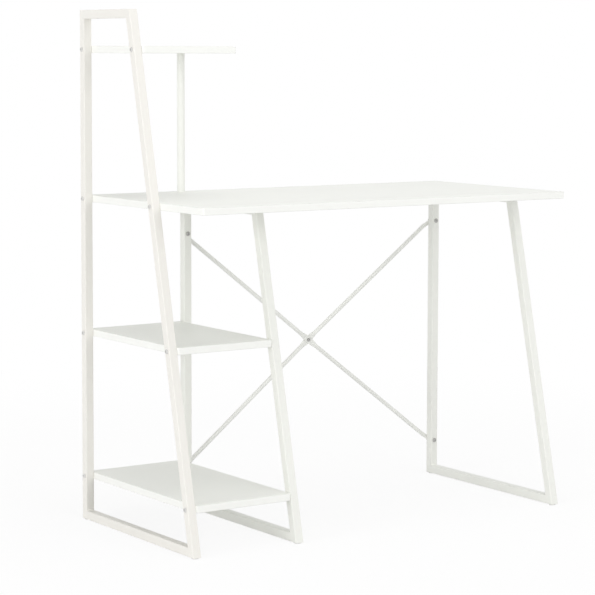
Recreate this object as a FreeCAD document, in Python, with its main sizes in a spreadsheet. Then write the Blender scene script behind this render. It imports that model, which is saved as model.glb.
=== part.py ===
import FreeCAD, Part
import Sketcher
import os

# Desk with shelves: three leaning tube frames, four boards, one post and a crossed rear brace.
# The X axis runs along the desk, Y from the front to the rear, Z up from the floor.
doc = FreeCAD.newDocument("DeskWithShelves")
vector = FreeCAD.Vector
along_x = vector(1, 0, 0)
along_y = vector(0, 1, 0)
along_z = vector(0, 0, 1)

# Driving sizes in millimetres
SIZES = {
    "overall_width": 1020,
    "desk_depth": 500,
    "overall_height": 1170,
    "desk_height": 750,
    "desk_front_overhang": 9,
    "tall_top_depth": 226,
    "bay_width": 244,
    "tube_size": 20,
    "tube_wall": 1.2,
    "tube_corner": 2,
    "board_thickness": 16,
    "board_corner": 5,
    "board_edge": 0.8,
    "top_shelf_drop": 81,
    "middle_shelf_height": 442,
    "bottom_shelf_height": 110,
    "post_diameter": 18,
    "post_wall": 1.2,
    "post_side_inset": 13.5,
    "post_rear_inset": 28,
    "plug_length": 15,
    "brace_diameter": 10,
    "brace_wall": 1,
    "brace_upper_drop": 84,
    "brace_lower_height": 86.5,
    "brace_neck": 16,
    "brace_flat_margin": 1.5,
    "brace_leg_gap": 3,
    "brace_bow": 15,
    "bolt_diameter": 6,
    "bolt_head_diameter": 11,
    "bolt_head_height": 3,
    "bolt_key": 4,
    "bolt_clearance": 0.3,
    "thread_clearance": 0.1,
    "thread_end": 1.5,
    "nut_width": 10,
    "nut_height": 5,
    "centre_bolt_diameter": 5,
    "centre_bolt_head_diameter": 9.5,
    "centre_bolt_head_height": 2.8,
    "centre_bolt_key": 3,
    "centre_nut_width": 8,
    "centre_nut_height": 4,
    "edge_screw_depth": 24,
    "desk_screw_depth": 11,
    "desk_screw_inset": 95,
    "drill_reserve": 1,
    "pad_diameter": 16,
    "pad_height": 2,
    "pad_inset": 10,
}

# Places and lengths that follow from the driving sizes
LAYOUT = {
    "nut_reach": "Sizes.centre_nut_height + Sizes.thread_end",
    "crossing_reach": "max(flat_thickness + nut_reach; Sizes.brace_wall + Sizes.brace_diameter / 2)",
    "rear_reach": "Sizes.brace_wall + Sizes.brace_bow + crossing_reach",
    "left_face": "(Sizes.bolt_head_height - Sizes.overall_width) / 2",
    "front_face": "-(Sizes.desk_depth + rear_reach) / 2",
    "inner_face": "left_face + Sizes.tube_size",
    "middle_face": "inner_face + Sizes.bay_width",
    "right_face": "left_face + Sizes.overall_width - Sizes.tube_size",
    "frame_height": "Sizes.overall_height - Sizes.pad_height",
    "tall_run": "Sizes.desk_depth - Sizes.desk_front_overhang - Sizes.tall_top_depth",
    "lean": "tall_run / frame_height",
    "leg_depth": "Sizes.tube_size * sqrt(1 + lean^2)",
    "wall_share": "Sizes.tube_wall / Sizes.tube_size",
    "rear_centre": "Sizes.desk_depth - Sizes.tube_size / 2",
    "desk_length": "Sizes.overall_width - Sizes.tube_size",
    "desk_under": "Sizes.desk_height - Sizes.board_thickness",
    "top_shelf_height": "Sizes.overall_height - Sizes.top_shelf_drop",
    "top_shelf_under": "top_shelf_height - Sizes.board_thickness",
    "middle_shelf_under": "Sizes.middle_shelf_height - Sizes.board_thickness",
    "bottom_shelf_under": "Sizes.bottom_shelf_height - Sizes.board_thickness",
    "bolt_hole": "Sizes.bolt_diameter + Sizes.bolt_clearance",
    "thread_hole": "Sizes.bolt_diameter + Sizes.thread_clearance",
    "centre_hole": "Sizes.centre_bolt_diameter + Sizes.bolt_clearance",
    "centre_thread_hole": "Sizes.centre_bolt_diameter + Sizes.thread_clearance",
    "post_along": "Sizes.bay_width - Sizes.post_side_inset",
    "post_across": "Sizes.desk_depth - Sizes.post_rear_inset",
    "post_length": "top_shelf_under - Sizes.desk_height",
    "plug_diameter": "Sizes.post_diameter - 2 * Sizes.post_wall",
    "brace_left": "middle_face + Sizes.tube_size / 2",
    "brace_right": "right_face + Sizes.tube_size / 2",
    "brace_run": "brace_right - brace_left",
    "brace_upper_height": "desk_under - Sizes.brace_upper_drop",
    "brace_rise": "brace_upper_height - Sizes.brace_lower_height",
    "brace_length": "sqrt(brace_run^2 + brace_rise^2)",
    "brace_bore": "Sizes.brace_diameter - 2 * Sizes.brace_wall",
    "flat_thickness": "2 * Sizes.brace_wall",
    "pressed_width": "pi * (Sizes.brace_diameter - Sizes.brace_wall) / 2 + Sizes.brace_wall",
    "crossing_skew": "(brace_length^2 + abs(brace_run^2 - brace_rise^2)) / (2 * brace_run * brace_rise)",
    "crossing_flat": "pressed_width / 2 * crossing_skew + Sizes.brace_flat_margin",
    "crossing_neck": "crossing_flat + Sizes.brace_neck",
    "end_depth": "Sizes.brace_leg_gap + Sizes.brace_diameter / 2 - Sizes.brace_wall",
    "flat_run": "Sizes.nut_width / sqrt(3) + Sizes.brace_flat_margin",
    "bolt_reach": "brace_length / 2",
    "flat_start": "bolt_reach - flat_run",
    "neck_start": "flat_start - Sizes.brace_neck",
    "brace_plane": "front_face + Sizes.desk_depth + Sizes.brace_wall",
    "brace_back": "brace_plane + Sizes.brace_wall",
    "crossing_x": "(brace_left + brace_right) / 2",
    "crossing_z": "(brace_upper_height + Sizes.brace_lower_height) / 2",
    "edge_screw_reach": "Sizes.tube_size + Sizes.edge_screw_depth",
    "desk_screw_reach": "Sizes.tube_size + Sizes.desk_screw_depth",
    "edge_drill_depth": "Sizes.edge_screw_depth + Sizes.drill_reserve",
    "desk_drill_depth": "Sizes.desk_screw_depth + Sizes.drill_reserve",
    "sink_depth": "Sizes.bolt_head_height + Sizes.bolt_clearance",
    "sink_width": "Sizes.bolt_head_diameter + Sizes.bolt_clearance",
    "post_bolt_reach": "Sizes.board_thickness - sink_depth + Sizes.plug_length",
    "brace_bolt_reach": "Sizes.tube_size + flat_thickness + Sizes.nut_height + Sizes.thread_end",
    "centre_bolt_reach": "2 * flat_thickness + nut_reach",
}

# Shares of a bolt head: height of the straight rim, width of the flat top, depth of the key recess
HEAD_RIM_SHARE = 0.2
HEAD_FLAT_SHARE = 0.55
KEY_DEPTH_SHARE = 0.6

# Turns that face the top of an upright piece along an axis
FACINGS = {
    "up": FreeCAD.Rotation(along_z, 0),
    "down": FreeCAD.Rotation(along_x, 180),
    "left": FreeCAD.Rotation(along_y, -90),
    "right": FreeCAD.Rotation(along_y, 90),
    "front": FreeCAD.Rotation(along_x, 90),
    "rear": FreeCAD.Rotation(along_x, -90),
}

sizes = doc.addObject("Spreadsheet::Sheet", "Sizes")
for row, (alias, number) in enumerate(SIZES.items(), 1):
    sizes.set(f"A{row}", alias)
    sizes.set(f"B{row}", str(number))
    sizes.setAlias(f"B{row}", alias)
layout = doc.addObject("Spreadsheet::Sheet", "Layout")
for row, alias in enumerate(LAYOUT, 1):
    layout.set(f"A{row}", alias)
    layout.setAlias(f"B{row}", alias)
doc.recompute()
for row, formula in enumerate(LAYOUT.values(), 1):
    layout.set(f"B{row}", f"={formula}")
doc.recompute()

# Sub-parts that are written out, in the order they are made
nodes = []


def number_of(formula):
    """Value of a formula on the two sheets."""
    result = layout.evalExpression(formula)
    return float(getattr(result, "Value", result))


def new_body(label, x="0", y="0", z="0"):
    """Empty body placed by three formulas."""
    body = doc.addObject("PartDesign::Body", label)
    body.Label = label
    place(body, x, y, z)
    return body


def place(item, x, y, z):
    """Bind the position of an item to three formulas."""
    for axis, formula in zip("xyz", (x, y, z)):
        item.setExpression(f"Placement.Base.{axis}", formula)


def new_sketch(body, name, role, offset="0"):
    """Sketch on one of the body's origin planes, moved along the plane's normal."""
    sketch = body.newObject("Sketcher::SketchObject", name)
    plane = next(item for item in body.Origin.OriginFeatures if item.Role == role)
    sketch.AttachmentSupport = [(plane, "")]
    sketch.MapMode = "FlatFace"
    sketch.setExpression("AttachmentOffset.Base.z", offset)
    return sketch


def bind_point(sketch, edge, end, x, y):
    """Hold one point of a sketch edge at two formulas from the sketch origin."""
    for kind, formula in (("DistanceX", x), ("DistanceY", y)):
        rule = Sketcher.Constraint(kind, -1, 1, edge, end, number_of(formula))
        index = sketch.addConstraint(rule)
        sketch.setExpression(f"Constraints[{index}]", formula)


def join_edges(sketch, edges):
    """Close a loop of sketch edges end to start."""
    for edge, following in zip(edges, edges[1:] + edges[:1]):
        sketch.addConstraint(Sketcher.Constraint("Coincident", edge, 2, following, 1))


def draw_polygon(sketch, corners):
    """Closed polygon whose corners are pairs of formulas."""
    points = [vector(number_of(x), number_of(y), 0) for x, y in corners]
    edges = []
    for start, finish in zip(points, points[1:] + points[:1]):
        edges.append(sketch.addGeometry(Part.LineSegment(start, finish), False))
    join_edges(sketch, edges)
    for edge, (x, y) in zip(edges, corners):
        bind_point(sketch, edge, 1, x, y)


def draw_circle(sketch, x, y, diameter):
    """Circle with its centre and diameter bound to formulas."""
    centre = vector(number_of(x), number_of(y), 0)
    circle = Part.Circle(centre, along_z, number_of(diameter) / 2)
    edge = sketch.addGeometry(circle, False)
    bind_point(sketch, edge, 3, x, y)
    index = sketch.addConstraint(Sketcher.Constraint("Diameter", edge, number_of(diameter)))
    sketch.setExpression(f"Constraints[{index}]", diameter)


def draw_hexagon(sketch, width):
    """Hexagon about the sketch origin with its width across flats bound to a formula."""
    half = f"{width} / 2"
    point = f"{width} / sqrt(3)"
    corners = [(point, "0"), (f"{point} / 2", half), (f"-{point} / 2", half)]
    corners += [(f"-{point}", "0"), (f"-{point} / 2", f"-{half}"), (f"{point} / 2", f"-{half}")]
    draw_polygon(sketch, corners)


def add_pad(body, sketch, length, side="One side"):
    """Pad a sketch along its normal."""
    pad = body.newObject("PartDesign::Pad", f"{sketch.Name}_pad")
    pad.Profile = sketch
    pad.SideType = side
    pad.setExpression("Length", length)
    return pad


def add_pocket(body, sketch, length, forward=False):
    """Cut a sketch to a depth, against its normal unless it is sent forward."""
    pocket = body.newObject("PartDesign::Pocket", f"{sketch.Name}_pocket")
    pocket.Profile = sketch
    pocket.Reversed = forward
    pocket.setExpression("Length", length)
    return pocket


def add_through_holes(body, name, role, centres, diameter):
    """Round holes right through the body along the normal of an origin plane."""
    sketch = new_sketch(body, name, role)
    for x, y in centres:
        draw_circle(sketch, x, y, diameter)
    pocket = body.newObject("PartDesign::Pocket", f"{name}_pocket")
    pocket.Profile = sketch
    pocket.SideType = "Symmetric"
    pocket.Type = "ThroughAll"
    return pocket


def add_fillet(body, edges, radius):
    """Round the numbered edges of the body's last feature."""
    base = body.Tip
    fillet = body.newObject("PartDesign::Fillet", f"{body.Name}_fillet")
    fillet.Base = (base, [f"Edge{index}" for index in edges])
    fillet.setExpression("Radius", radius)
    doc.recompute()
    return fillet


def add_chamfer(body, edges, size):
    """Bevel the numbered edges of the body's last feature."""
    base = body.Tip
    chamfer = body.newObject("PartDesign::Chamfer", f"{body.Name}_chamfer")
    chamfer.Base = (base, [f"Edge{index}" for index in edges])
    chamfer.setExpression("Size", size)


def new_ring(label, outer, bore, length):
    """Plain sleeve that stands on its own XY plane."""
    body = new_body(label)
    sketch = new_sketch(body, f"{label}_ring", "XY_Plane")
    draw_circle(sketch, "0", "0", outer)
    draw_circle(sketch, "0", "0", bore)
    add_pad(body, sketch, length)
    return body


def new_group(label, copies):
    """Group of separate copies, each given by its piece, its place and the way its top faces."""
    links = []
    for index, (source, (x, y, z), facing) in enumerate(copies, 1):
        link = doc.addObject("App::Link", f"{label}_{index}")
        link.LinkedObject = source
        link.Placement = FreeCAD.Placement(vector(0, 0, 0), FACINGS[facing])
        place(link, x, y, z)
        links.append(link)
    group = doc.addObject("Part::Compound", label)
    group.Label = label
    group.Links = links
    nodes.append(group)


def lean_front(height):
    """Front face of a leaning leg at a height, measured from the desk's front edge."""
    return f"(Sizes.desk_front_overhang + Layout.lean * ({height} - Sizes.pad_height))"


def leg_centre(height):
    """Middle of a leaning leg at a height, measured from the desk's front edge."""
    return f"({lean_front(height)} + Layout.leg_depth / 2)"


def board_middle(under):
    """Height of the middle of a board above the floor."""
    return f"({under} + Sizes.board_thickness / 2)"


def from_front(depth):
    """Position in Y of a depth measured from the desk's front edge."""
    return f"Layout.front_face + {depth}"


# Square tube frames: four mitred tubes each, the front leg leaning back
def frame_corners(top):
    """Outer and inner corners of a frame, from the front of the foot bar round to the front top."""
    foot = "Sizes.pad_height"
    foot_inner = "(Sizes.pad_height + Sizes.tube_size)"
    top_inner = f"({top} - Sizes.tube_size)"
    rear = "Sizes.desk_depth"
    rear_inner = "(Sizes.desk_depth - Sizes.tube_size)"
    outer = [(lean_front(foot), foot), (rear, foot), (rear, top), (lean_front(top), top)]
    inner = [
        (f"({lean_front(foot_inner)} + Layout.leg_depth)", foot_inner),
        (rear_inner, foot_inner),
        (rear_inner, top_inner),
        (f"({lean_front(top_inner)} + Layout.leg_depth)", top_inner),
    ]
    return outer, inner


def on_mitre(outer, inner, share):
    """Point on the mitre line at a share of the way from the outer to the inner corner."""
    return tuple(f"({far} + ({near} - {far}) * {share})" for far, near in zip(outer, inner))


def new_tube(label, face, starts, ends):
    """Mitred square tube between two corner pairs of a frame, each pair outer then inner."""
    body = new_body(label, face, "Layout.front_face")
    outline = new_sketch(body, f"{label}_outline", "YZ_Plane")
    draw_polygon(outline, [starts[0], ends[0], ends[1], starts[1]])
    add_pad(body, outline, "Sizes.tube_size")
    doc.recompute()
    edges = body.Shape.Edges
    by_length = sorted(range(len(edges)), key=lambda index: edges[index].Length)
    long_edges = by_length[-4:]
    add_fillet(body, [index + 1 for index in long_edges], "Sizes.tube_corner")
    hollow = new_sketch(body, f"{label}_hollow", "YZ_Plane", "Sizes.tube_size - Sizes.tube_wall")
    near = "Layout.wall_share"
    far = "(1 - Layout.wall_share)"
    draw_polygon(hollow, [
        on_mitre(*starts, near), on_mitre(*ends, near), on_mitre(*ends, far), on_mitre(*starts, far)])
    add_pocket(body, hollow, "Sizes.tube_size - 2 * Sizes.tube_wall")
    nodes.append(body)
    return body


def new_frame(name, face, top):
    """Closed frame of foot bar, rear leg, top bar and front leg."""
    outer, inner = frame_corners(top)
    corners = list(zip(outer, inner))
    tubes = {}
    for index, member in enumerate(("foot_bar", "rear_leg", "top_bar", "front_leg")):
        tubes[member] = new_tube(f"{name}_{member}", face, corners[index], corners[(index + 1) % 4])
    return tubes


left = new_frame("left", "Layout.left_face", "Sizes.overall_height")
middle = new_frame("middle", "Layout.middle_face", "Layout.desk_under")
right = new_frame("right", "Layout.right_face", "Layout.desk_under")

# Bolt holes through the frames: boards along X, brace along Y, desk along Z
tall_boards = ["Layout.top_shelf_under", "Layout.desk_under"]
bay_boards = ["Layout.middle_shelf_under", "Layout.bottom_shelf_under"]
all_boards = tall_boards + bay_boards
tube_middle = "Sizes.tube_size / 2"
brace_heights = ["Layout.brace_upper_height", "Sizes.brace_lower_height"]
desk_screw_depths = [
    f"({lean_front('Layout.desk_under')} + Sizes.desk_screw_inset)",
    "(Sizes.desk_depth - Sizes.desk_screw_inset)",
]


def drill_for_boards(tubes, boards):
    """Holes at the middle of each board through both legs of a frame."""
    heights = [board_middle(under) for under in boards]
    rear_holes = [("Layout.rear_centre", height) for height in heights]
    front_holes = [(leg_centre(height), height) for height in heights]
    for member, holes in (("rear_leg", rear_holes), ("front_leg", front_holes)):
        body = tubes[member]
        add_through_holes(body, f"{body.Name}_board_holes", "YZ_Plane", holes, "Layout.bolt_hole")


drill_for_boards(left, all_boards)
drill_for_boards(middle, bay_boards)
for tubes in (middle, right):
    leg = tubes["rear_leg"]
    brace_holes = [(tube_middle, height) for height in brace_heights]
    add_through_holes(leg, f"{leg.Name}_brace_holes", "XZ_Plane", brace_holes, "Layout.bolt_hole")
    bar = tubes["top_bar"]
    desk_holes = [(tube_middle, depth) for depth in desk_screw_depths]
    add_through_holes(bar, f"{bar.Name}_desk_holes", "XY_Plane", desk_holes, "Layout.bolt_hole")


# Boards: rounded in plan, eased along every edge, drilled for screws and for the post
def new_board(label, length, front, under):
    """Plain board that starts at the left frame's inner face and ends flush with the frames' rear."""
    body = new_body(label, "Layout.inner_face", "Layout.front_face", under)
    plan = new_sketch(body, f"{label}_plan", "XY_Plane")
    rear = "Sizes.desk_depth"
    draw_polygon(plan, [("0", front), (length, front), (length, rear), ("0", rear)])
    add_pad(body, plan, "Sizes.board_thickness")
    doc.recompute()
    upright = [
        index for index, edge in enumerate(body.Shape.Edges, 1)
        if abs(edge.tangentAt(edge.FirstParameter).z) > 0.5]
    add_fillet(body, upright, "Sizes.board_corner")
    rims = [
        index for index, edge in enumerate(body.Shape.Edges, 1)
        if edge.BoundBox.ZLength < number_of("Sizes.board_thickness") / 2]
    add_chamfer(body, rims, "Sizes.board_edge")
    nodes.append(body)
    return body


def drill_end(body, under, at, forward):
    """Two screw holes in one end of a board, on the middle lines of the legs."""
    side = "left" if forward else "right"
    sketch = new_sketch(body, f"{body.Name}_{side}_holes", "YZ_Plane", at)
    for depth in (leg_centre(board_middle(under)), "Layout.rear_centre"):
        draw_circle(sketch, depth, "Sizes.board_thickness / 2", "Layout.thread_hole")
    add_pocket(body, sketch, "Layout.edge_drill_depth", forward)


desk = new_board("desk_top", "Layout.desk_length", "0", "Layout.desk_under")
top_shelf = new_board(
    "top_shelf", "Sizes.bay_width", lean_front("Layout.top_shelf_under"), "Layout.top_shelf_under")
middle_shelf = new_board(
    "middle_shelf", "Sizes.bay_width", lean_front("Layout.middle_shelf_under"),
    "Layout.middle_shelf_under")
bottom_shelf = new_board(
    "bottom_shelf", "Sizes.bay_width", lean_front("Layout.bottom_shelf_under"),
    "Layout.bottom_shelf_under")

tall_ends = list(zip((top_shelf, desk), tall_boards))
bay_ends = list(zip((middle_shelf, bottom_shelf), bay_boards))
for board, under in tall_ends + bay_ends:
    drill_end(board, under, "0", True)
for board, under in bay_ends:
    drill_end(board, under, "Sizes.bay_width", False)

# Post holes, each with a round sink for the bolt head on the side away from the post
post_hole = ("Layout.post_along", "Layout.post_across")
for board, surface in ((top_shelf, "Sizes.board_thickness"), (desk, "0")):
    add_through_holes(board, f"{board.Name}_post_hole", "XY_Plane", [post_hole], "Layout.bolt_hole")
    sink = new_sketch(board, f"{board.Name}_post_sink", "XY_Plane", surface)
    draw_circle(sink, *post_hole, "Layout.sink_width")
    add_pocket(board, sink, "Layout.sink_depth", board is desk)

# Screw holes in the underside of the desk, over the two short frames
frame_centres = ["Layout.brace_left", "Layout.brace_right"]
desk_holes = new_sketch(desk, "desk_screw_holes", "XY_Plane")
for centre in frame_centres:
    for depth in desk_screw_depths:
        draw_circle(desk_holes, f"{centre} - Layout.inner_face", depth, "Layout.thread_hole")
add_pocket(desk, desk_holes, "Layout.desk_drill_depth", True)

# Post between the desk and the top shelf, with a threaded plug in each end
post_x = "Layout.inner_face + Layout.post_along"
post_y = from_front("Layout.post_across")
post = new_ring("shelf_post", "Sizes.post_diameter", "Layout.plug_diameter", "Layout.post_length")
place(post, post_x, post_y, "Sizes.desk_height")
nodes.append(post)
plug = new_ring("plug_piece", "Layout.plug_diameter", "Layout.thread_hole", "Sizes.plug_length")
new_group("post_plugs", [
    (plug, (post_x, post_y, "Sizes.desk_height"), "up"),
    (plug, (post_x, post_y, "Layout.top_shelf_under"), "down"),
])


# Crossed brace: round tubes pressed flat at both ends and where they cross
def draw_tongue(sketch):
    """Flat end in plan: straight from the neck, round about the bolt."""
    half = "Sizes.brace_diameter / 2"
    lower = f"-{half}"
    start = number_of("Layout.flat_start")
    reach = number_of("Layout.bolt_reach")
    radius = number_of(half)
    points = [vector(start, -radius, 0), vector(reach, -radius, 0)]
    points += [vector(reach, radius, 0), vector(start, radius, 0)]
    tip = vector(reach + radius, 0, 0)
    shapes = [
        Part.LineSegment(points[0], points[1]),
        Part.Arc(points[1], tip, points[2]),
        Part.LineSegment(points[2], points[3]),
        Part.LineSegment(points[3], points[0]),
    ]
    edges = [sketch.addGeometry(shape, False) for shape in shapes]
    join_edges(sketch, edges)
    bind_point(sketch, edges[0], 1, "Layout.flat_start", lower)
    bind_point(sketch, edges[0], 2, "Layout.bolt_reach", lower)
    bind_point(sketch, edges[2], 1, "Layout.bolt_reach", half)
    bind_point(sketch, edges[2], 2, "Layout.flat_start", half)
    rule = Sketcher.Constraint("DistanceX", -1, 1, edges[1], 3, reach)
    index = sketch.addConstraint(rule)
    sketch.setExpression(f"Constraints[{index}]", "Layout.bolt_reach")


def tube_section(body, name, along, depth, diameter):
    """Round section of a brace at a distance from its middle and a depth behind its flat ends."""
    sketch = new_sketch(body, name, "YZ_Plane", along)
    draw_circle(sketch, depth, "0", diameter)
    return sketch


def flat_section(body, name, along, depth, width):
    """Pressed section of a brace, two walls thick."""
    sketch = new_sketch(body, name, "YZ_Plane", along)
    front = f"{depth} - Sizes.brace_wall"
    rear = f"{depth} + Sizes.brace_wall"
    half = f"{width} / 2"
    draw_polygon(sketch, [(rear, f"-{half}"), (rear, half), (front, half), (front, f"-{half}")])
    return sketch


def add_loft(body, name, start, finish, kind="Additive"):
    """Loft between two sections."""
    loft = body.newObject(f"PartDesign::{kind}Loft", name)
    loft.Profile = start
    loft.Sections = [finish]
    return loft


def new_brace(label, depth, turn):
    """Brace whose pressed middle lies at a depth behind its flat ends, turned about Y."""
    body = new_body(label)
    width = "Layout.pressed_width"
    outer = "Sizes.brace_diameter"
    bore = "Layout.brace_bore"
    pressed = flat_section(body, f"{label}_pressed", "0", depth, width)
    add_pad(body, pressed, "2 * Layout.crossing_flat", "Symmetric")
    middle_flat = flat_section(body, f"{label}_middle_flat", "Layout.crossing_flat", depth, width)
    middle_round = tube_section(body, f"{label}_middle_round", "Layout.crossing_neck", depth, outer)
    end_round = tube_section(body, f"{label}_end_round", "Layout.neck_start", "Layout.end_depth", outer)
    end_flat = flat_section(body, f"{label}_end_flat", "Layout.flat_start", "0", outer)
    middle_bore = tube_section(body, f"{label}_middle_bore", "Layout.crossing_neck", depth, bore)
    end_bore = tube_section(body, f"{label}_end_bore", "Layout.neck_start", "Layout.end_depth", bore)
    half = [
        add_loft(body, f"{label}_tube", middle_round, end_round),
        add_loft(body, f"{label}_hollow", middle_bore, end_bore, "Subtractive"),
        add_loft(body, f"{label}_middle_neck", middle_flat, middle_round),
        add_loft(body, f"{label}_end_neck", end_round, end_flat),
    ]
    tongue = new_sketch(body, f"{label}_tongue", "XZ_Plane")
    draw_tongue(tongue)
    half.append(add_pad(body, tongue, "Layout.flat_thickness", "Symmetric"))
    half.append(add_through_holes(
        body, f"{label}_end_hole", "XZ_Plane", [("Layout.bolt_reach", "0")], "Layout.bolt_hole"))
    other_half = body.newObject("PartDesign::Mirrored", f"{label}_other_half")
    plane = next(item for item in body.Origin.OriginFeatures if item.Role == "YZ_Plane")
    other_half.Originals = half
    other_half.MirrorPlane = (plane, [""])
    body.Tip = other_half
    doc.recompute()
    add_through_holes(body, f"{label}_centre_hole", "XZ_Plane", [("0", "0")], "Layout.centre_hole")
    body.Placement = FreeCAD.Placement(vector(0, 0, 0), FreeCAD.Rotation(along_y, 1))
    place(body, "Layout.crossing_x", "Layout.brace_plane", "Layout.crossing_z")
    body.setExpression("Placement.Rotation.Angle", turn)
    nodes.append(body)
    return body


brace_angle = "atan(Layout.brace_rise / Layout.brace_run)"
new_brace("falling_brace", "(Sizes.brace_bow - Sizes.brace_wall)", brace_angle)
new_brace("rising_brace", "(Sizes.brace_bow + Sizes.brace_wall)", f"-{brace_angle}")


# Bolts: low round heads with a hexagon recess; the origin is under the head, the head points up
def new_bolt(label, family, reach):
    """Bolt of a size family whose shank reaches a given length below its head."""
    shank = f"Sizes.{family}_diameter / 2"
    head = f"Sizes.{family}_head_diameter / 2"
    height = f"Sizes.{family}_head_height"
    rim = f"{height} * {HEAD_RIM_SHARE}"
    flat = f"{head} * {HEAD_FLAT_SHARE}"
    body = new_body(label)
    profile = new_sketch(body, f"{label}_profile", "XZ_Plane")
    corners = [("0", f"-{reach}"), (shank, f"-{reach}"), (shank, "0"), (head, "0")]
    corners += [(head, rim), (flat, height), ("0", height)]
    draw_polygon(profile, corners)
    turned = body.newObject("PartDesign::Revolution", f"{label}_turned")
    turned.Profile = profile
    turned.ReferenceAxis = (profile, ["V_Axis"])
    recess = new_sketch(body, f"{label}_recess", "XY_Plane", height)
    draw_hexagon(recess, f"Sizes.{family}_key")
    add_pocket(body, recess, f"{height} * {KEY_DEPTH_SHARE}")
    return body


def new_nut(label, width, bore, height):
    """Hexagon nut that stands on its own XY plane."""
    body = new_body(label)
    sketch = new_sketch(body, f"{label}_outline", "XY_Plane")
    draw_hexagon(sketch, width)
    draw_circle(sketch, "0", "0", bore)
    add_pad(body, sketch, height)
    return body


def at_legs(face, boards):
    """Places on a frame's face where the bolts of the given boards pass through both legs."""
    places = []
    for height in [board_middle(under) for under in boards]:
        for depth in (leg_centre(height), "Layout.rear_centre"):
            places.append((face, from_front(depth), height))
    return places


# Board screws through both legs of the left frame and of the middle frame
edge_screw = new_bolt("edge_screw_piece", "bolt", "Layout.edge_screw_reach")
middle_outer = "(Layout.middle_face + Sizes.tube_size)"
new_group("left_board_screws", [
    (edge_screw, spot, "left") for spot in at_legs("Layout.left_face", all_boards)])
new_group("middle_board_screws", [
    (edge_screw, spot, "right") for spot in at_legs(middle_outer, bay_boards)])

# Desk screws up through the top bars of the two short frames
desk_screw = new_bolt("desk_screw_piece", "bolt", "Layout.desk_screw_reach")
under_bar = "Layout.desk_under - Sizes.tube_size"
new_group("desk_screws", [
    (desk_screw, (centre, from_front(depth), under_bar), "down")
    for centre in frame_centres for depth in desk_screw_depths])

# Post bolts, one up through the desk and one down through the top shelf
post_bolt = new_bolt("post_bolt_piece", "bolt", "Layout.post_bolt_reach")
new_group("post_bolts", [
    (post_bolt, (post_x, post_y, "Layout.desk_under + Layout.sink_depth"), "down"),
    (post_bolt, (post_x, post_y, "Layout.top_shelf_height - Layout.sink_depth"), "up"),
])

# Brace bolts from the front of the rear legs and through the crossing, with nuts behind
brace_bolt = new_bolt("brace_bolt_piece", "bolt", "Layout.brace_bolt_reach")
brace_nut = new_nut("brace_nut_piece", "Sizes.nut_width", "Layout.thread_hole", "Sizes.nut_height")
centre_bolt = new_bolt("centre_bolt_piece", "centre_bolt", "Layout.centre_bolt_reach")
centre_nut = new_nut(
    "centre_nut_piece", "Sizes.centre_nut_width", "Layout.centre_thread_hole", "Sizes.centre_nut_height")
leg_front = from_front("Sizes.desk_depth - Sizes.tube_size")
brace_ends = [(centre, height) for centre in frame_centres for height in brace_heights]
bolts = [(brace_bolt, (x, leg_front, z), "front") for x, z in brace_ends]
nuts = [(brace_nut, (x, "Layout.brace_back", z), "rear") for x, z in brace_ends]
crossing_front = "Layout.brace_plane + Sizes.brace_bow - Layout.flat_thickness"
crossing_rear = "Layout.brace_plane + Sizes.brace_bow + Layout.flat_thickness"
bolts.append((centre_bolt, ("Layout.crossing_x", crossing_front, "Layout.crossing_z"), "front"))
nuts.append((centre_nut, ("Layout.crossing_x", crossing_rear, "Layout.crossing_z"), "rear"))
new_group("brace_bolts", bolts)
new_group("brace_nuts", nuts)

# Foot pads under both ends of every foot bar
pad_piece = new_body("pad_piece")
pad_outline = new_sketch(pad_piece, "pad_outline", "XY_Plane")
draw_circle(pad_outline, "0", "0", "Sizes.pad_diameter")
add_pad(pad_piece, pad_outline, "Sizes.pad_height")
pad_depths = ["Sizes.desk_front_overhang + Sizes.pad_inset", "Sizes.desk_depth - Sizes.pad_inset"]
for name in ("left", "middle", "right"):
    pad_x = f"Layout.{name}_face + {tube_middle}"
    pad_spots = [(pad_x, from_front(depth), "0") for depth in pad_depths]
    new_group(f"{name}_foot_pads", [(pad_piece, spot, "up") for spot in pad_spots])

# Check every object, then write each sub-part to its own file
doc.recompute()
for item in doc.Objects:
    if "Invalid" in item.State or "Error" in item.State:
        raise RuntimeError(f"{item.Label} did not build: {item.State}")
os.makedirs("parts", exist_ok=True)
for item in nodes:
    if item.Shape.isNull() or not item.Shape.isValid():
        raise RuntimeError(f"{item.Label} has no sound shape")
    item.Shape.exportStep(f"parts/{item.Label}.step")
    print(item.Label, len(item.Shape.Solids), round(item.Shape.Volume, 1))
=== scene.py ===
"""White steel and board desk with a shelf tower: finishes, small hardware, studio and camera, in metres."""

import logging
import math
from collections.abc import Sequence
from dataclasses import dataclass
from enum import Enum

import bmesh
import bpy
from mathutils import Matrix, Vector


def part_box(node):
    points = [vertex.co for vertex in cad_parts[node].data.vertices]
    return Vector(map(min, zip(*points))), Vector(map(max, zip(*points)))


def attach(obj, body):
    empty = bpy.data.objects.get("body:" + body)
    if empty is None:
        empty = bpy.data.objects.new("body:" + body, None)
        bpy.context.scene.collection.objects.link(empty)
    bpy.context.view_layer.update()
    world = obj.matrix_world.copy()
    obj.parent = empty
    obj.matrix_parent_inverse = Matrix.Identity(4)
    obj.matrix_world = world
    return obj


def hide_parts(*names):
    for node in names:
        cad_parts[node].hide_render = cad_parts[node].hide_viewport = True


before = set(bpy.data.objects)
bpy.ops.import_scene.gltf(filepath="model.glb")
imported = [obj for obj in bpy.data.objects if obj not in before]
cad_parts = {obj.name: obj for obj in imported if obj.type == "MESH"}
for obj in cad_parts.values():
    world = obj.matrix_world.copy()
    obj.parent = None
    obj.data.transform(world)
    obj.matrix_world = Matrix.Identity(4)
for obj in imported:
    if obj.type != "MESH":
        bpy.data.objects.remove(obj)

LOG = logging.getLogger("desk")
SEGMENTS = 48
SHARP_ANGLE = math.radians(32)
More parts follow.
